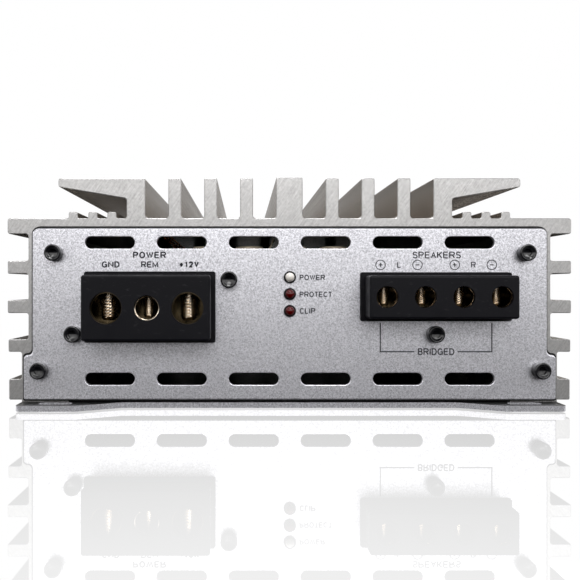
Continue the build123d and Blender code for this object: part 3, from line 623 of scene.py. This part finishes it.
def solid_ink(name, vertices, faces, facing=-1, thickness=INK):
    """Gives flat faces on the panel a hair of thickness."""
    shaped = bmesh.new()
    made = [shaped.verts.new(v) for v in vertices]
    for face in faces:
        try:
            shaped.faces.new([made[i] for i in face])
        except ValueError:
            continue
    bmesh.ops.remove_doubles(shaped, verts=shaped.verts, dist=0.0005)
    lifted = bmesh.ops.extrude_face_region(shaped, geom=list(shaped.faces))
    moved = [g for g in lifted["geom"] if isinstance(g, bmesh.types.BMVert)]
    bmesh.ops.translate(shaped, verts=moved, vec=(0, facing * thickness, 0))
    bmesh.ops.recalc_face_normals(shaped, faces=shaped.faces)
    shaped.verts.index_update()
    result = [tuple(v.co) for v in shaped.verts]
    polygons = [tuple(v.index for v in f.verts) for f in shaped.faces]
    shaped.free()
    add_piece(name, result, polygons, "legend_ink")


front_face = PANEL_FACE
for name, text, left, right, bottom, top, weight in (
    ("legend_power", "POWER", -51.4, -40.5, 49.17, 51.37, 0.20),
    ("legend_ground", "GND", -61.65, -55.75, 46.12, 48.22, 0.20),
    ("legend_remote", "REM", -48.75, -43.1, 46.12, 48.22, 0.20),
    ("legend_supply", "+12V", -36.4, -29.75, 46.12, 48.22, 0.26),
    ("legend_power_lamp", "POWER", 3.2, 11.57, 42.0, 43.8, 0.18),
    ("legend_protect_lamp", "PROTECT", 3.2, 13.85, 36.45, 38.3, 0.18),
    ("legend_clip_lamp", "CLIP", 3.2, 8.43, 31.0, 32.9, 0.18),
    ("legend_speakers", "SPEAKERS", 40.2, 56.1, 49.17, 51.4, 0.16),
    ("legend_left", "L", 35.2, 36.45, 46.05, 48.1, 0.16),
    ("legend_right", "R", 59.4, 60.95, 46.05, 48.1, 0.16),
    ("legend_bridged", "BRIDGED", 41.99, 53.95, 17.45, 19.74, 0.17),
):
    lettering(name, text, left, right, bottom, top, front_face, weight)


def flat_bar(x0, x1, z0, z1, face):
    return [(x0, face, z0), (x1, face, z0), (x1, face, z1), (x0, face, z1)], [(0, 1, 2, 3)]


def ink_shapes(name, shapes, facing=-1):
    gathered = Build()
    for vertices, faces in shapes:
        gathered.add(vertices, faces)
    solid_ink(name, gathered.vertices, gathered.faces, facing)


def flat_ring(x, z, outer, inner, face, start=0.0, end=360.0, sides=40):
    closed = end - start >= 360.0
    count = sides if closed else sides + 1
    vertices = []
    for k in range(count):
        t = math.radians(start + (end - start) * k / sides)
        vertices.append((x + outer * math.cos(t), face, z + outer * math.sin(t)))
        vertices.append((x + inner * math.cos(t), face, z + inner * math.sin(t)))
    faces = []
    for k in range(sides):
        a, b = 2 * k, 2 * ((k + 1) % count)
        faces.append((a, b, b + 1, a + 1))
    return vertices, faces


polarity = ((29.75, True), (41.85, False), (54.05, True), (66.2, False))
rings = [flat_ring(x, 47.05, 1.70, 1.42, front_face) for x, _ in polarity]
marks = [flat_bar(x - 0.62, x + 0.62, 46.88, 47.22, front_face) for x, _ in polarity]
risers = []
for x, plus in polarity:
    if plus:
        risers.append(flat_bar(x - 0.17, x + 0.17, 47.22, 47.67, front_face))
        risers.append(flat_bar(x - 0.17, x + 0.17, 46.43, 46.88, front_face))
ink_shapes("legend_polarity", rings + marks + risers)
line = 0.21
ink_shapes("legend_bridge_lines", [
    flat_bar(29.67 - line, 29.67 + line, 18.6 + line, 28.0, front_face),
    flat_bar(29.67 - line, 40.8, 18.6 - line, 18.6 + line, front_face),
    flat_bar(66.2 - line, 66.2 + line, 18.6 + line, 28.0, front_face),
    flat_bar(55.0, 66.2 + line, 18.6 - line, 18.6 + line, front_face),
])

# the control end is read from +Y, so words run towards -X
rear_face = -PANEL_FACE
for name, text, centre, width, bottom, height in (
    ("legend_level", "LEVEL", 18.0, 9.0, 18.3, 1.9),
    ("legend_crossover", "CROSSOVER", -6.0, 16.0, 18.3, 1.9),
    ("legend_bass", "BASS", -30.0, 7.0, 18.3, 1.9),
    ("legend_filter", "FULL  LOW  HIGH", 6.0, 15.0, 47.0, 1.5),
    ("legend_boost", "0  6  12", -18.0, 9.0, 47.0, 1.5),
    ("legend_input", "INPUT", 60.0, 8.6, 31.9, 1.9),
    ("legend_output", "OUTPUT", 42.0, 10.4, 31.9, 1.9),
    ("legend_remote_level", "REMOTE LEVEL", -58.0, 19.0, 18.3, 1.9),
    ("legend_left_channel", "L", 51.0, 1.2, 41.2, 1.9),
    ("legend_right_channel", "R", 51.0, 1.4, 23.2, 1.9),
):
    lettering(name, text, centre + width / 2, centre - width / 2, bottom, bottom + height, rear_face,
              0.17, facing=1)
ticks = []
for x in (18.0, -6.0, -30.0):
    for k in range(11):
        t = math.radians(-60 + 30 * k)
        centre = (x + 5.9 * math.cos(t), 30.0 + 5.9 * math.sin(t))
        ticks.append(flat_ring(*centre, 0.28, 0.02, rear_face, sides=12))
ink_shapes("legend_dial_marks", ticks, facing=1)

# ------------------------------------------------------------------ stage, light and camera
world = bpy.data.worlds.new("studio")
scene.world = world
world.use_nodes = True
tree = world.node_tree
tree.nodes.clear()


def world_ramp(source, from_low, from_high, to_low, to_high):
    made = tree.nodes.new("ShaderNodeMapRange")
    made.interpolation_type = "SMOOTHSTEP"
    for index, value in enumerate((from_low, from_high, to_low, to_high), 1):
        made.inputs[index].default_value = value
    tree.links.new(source, made.inputs[0])
    return made.outputs[0]


def world_math(operation, first, second):
    made = tree.nodes.new("ShaderNodeMath")
    made.operation = operation
    tree.links.new(first, made.inputs[0])
    tree.links.new(second, made.inputs[1])
    return made.outputs[0]


# bright above and in front, dark below and behind apart from pale paper at the back and the far sides;
# plain white where it is seen directly or in the floor
output = tree.nodes.new("ShaderNodeOutputWorld")
coords = tree.nodes.new("ShaderNodeTexCoord")
split = tree.nodes.new("ShaderNodeSeparateXYZ")
tree.links.new(coords.outputs["Generated"], split.inputs[0])
low_sky = world_ramp(split.outputs["Z"], -0.11, 0.25, 0.0, 2.15)
high_sky = world_ramp(split.outputs["Z"], 0.40, 0.80, 1.0, 0.30)
height = world_math("MULTIPLY", low_sky, high_sky)
behind = world_ramp(split.outputs["Y"], -0.35, 0.20, 1.0, 0.05)
sideways = tree.nodes.new("ShaderNodeMath")
sideways.operation = "ABSOLUTE"
tree.links.new(split.outputs["X"], sideways.inputs[0])
paper_back = world_ramp(split.outputs["Y"], 0.2, 0.6, 0.0, 1.0)
paper_edge = world_ramp(sideways.outputs[0], 0.0, 0.26, 0.60, 0.0)
glow = tree.nodes.new("ShaderNodeBackground")
glow.inputs[0].default_value = (1.0, 0.99, 0.985, 1.0)
room = world_math("MULTIPLY", height, behind)
low_paper = world_math("MULTIPLY", world_ramp(sideways.outputs[0], 0.42, 0.78, 0.0, 0.8),
                        world_ramp(split.outputs["Y"], -0.45, 0.15, 0.0, 1.0))
white_paper = world_math("ADD", low_paper, world_math("MULTIPLY", paper_back, paper_edge))
tree.links.new(world_math("ADD", room, white_paper), glow.inputs[1])
plain = tree.nodes.new("ShaderNodeBackground")
plain.inputs[0].default_value = (1.0, 1.0, 1.0, 1.0)
plain.inputs[1].default_value = 1.0
rays = tree.nodes.new("ShaderNodeLightPath")
pick = tree.nodes.new("ShaderNodeMixShader")
direct = world_math("MAXIMUM", rays.outputs["Is Camera Ray"], rays.outputs["Is Singular Ray"])
tree.links.new(direct, pick.inputs[0])
tree.links.new(glow.outputs[0], pick.inputs[1])
tree.links.new(plain.outputs[0], pick.inputs[2])
tree.links.new(pick.outputs[0], output.inputs[0])


def softbox(name, place, aim, width, height, watts, colour=(1, 1, 1)):
    light = bpy.data.lights.new(name, "AREA")
    light.shape = "RECTANGLE"
    light.size = width
    light.size_y = height
    light.energy = watts
    light.color = colour
    made = bpy.data.objects.new(name, light)
    made.location = place
    made.rotation_euler = (Vector(aim) - Vector(place)).to_track_quat("-Z", "Y").to_euler()
    scene.collection.objects.link(made)


softbox("front_softbox", (0.12, -1.10, 0.66), (0, -0.1, 0.05), 1.1, 0.26, 5.5)
softbox("top_softbox", (-0.06, -0.22, 1.0), (0, -0.12, 0.0), 0.7, 0.30, 7.0)
softbox("back_softbox", (0.5, 1.1, 0.75), (0, 0.1, 0.03), 0.9, 0.4, 6.0)

floor_mesh = bpy.data.meshes.new("floor")
floor_mesh.from_pydata([(-6, -6, 0), (6, -6, 0), (6, 6, 0), (-6, 6, 0)], [], [(0, 1, 2, 3)])
floor = bpy.data.objects.new("floor", floor_mesh)
scene.collection.objects.link(floor)
floor_material = bpy.data.materials.new("pale_floor")
floor_material.use_nodes = True
floor_tree = floor_material.node_tree
floor_tree.nodes.clear()
paper = floor_tree.nodes.new("ShaderNodeEmission")
paper.inputs[0].default_value = (1.0, 1.0, 1.0, 1.0)
paper.inputs[1].default_value = 1.0
polish = floor_tree.nodes.new("ShaderNodeBsdfGlossy")
polish.inputs["Color"].default_value = (1.0, 1.0, 1.0, 1.0)
polish.inputs["Roughness"].default_value = 0.0
sheen = floor_tree.nodes.new("ShaderNodeFresnel")
sheen.inputs["IOR"].default_value = 1.55
surface = floor_tree.nodes.new("ShaderNodeMixShader")
floor_output = floor_tree.nodes.new("ShaderNodeOutputMaterial")
floor_tree.links.new(sheen.outputs[0], surface.inputs[0])
floor_tree.links.new(paper.outputs[0], surface.inputs[1])
floor_tree.links.new(polish.outputs[0], surface.inputs[2])
floor_tree.links.new(surface.outputs[0], floor_output.inputs[0])
floor.data.materials.append(floor_material)
floor.location.z = -0.0004
floor.visible_diffuse = False
floor.visible_glossy = False
floor.visible_transmission = False
floor.visible_shadow = False

camera_data = bpy.data.cameras.new("camera")
camera = bpy.data.objects.new("camera", camera_data)
scene.collection.objects.link(camera)
camera.location = (-0.0150, -0.3362, 0.0398)
camera.rotation_euler = (math.radians(90), 0, 0)
camera_data.lens = 39.72
camera_data.sensor_width = 36.0
camera_data.shift_x = 0.0793
camera_data.shift_y = -0.0052
camera_data.clip_start = 0.01
camera_data.clip_end = 60.0
scene.camera = camera
scene.view_settings.view_transform = "Standard"
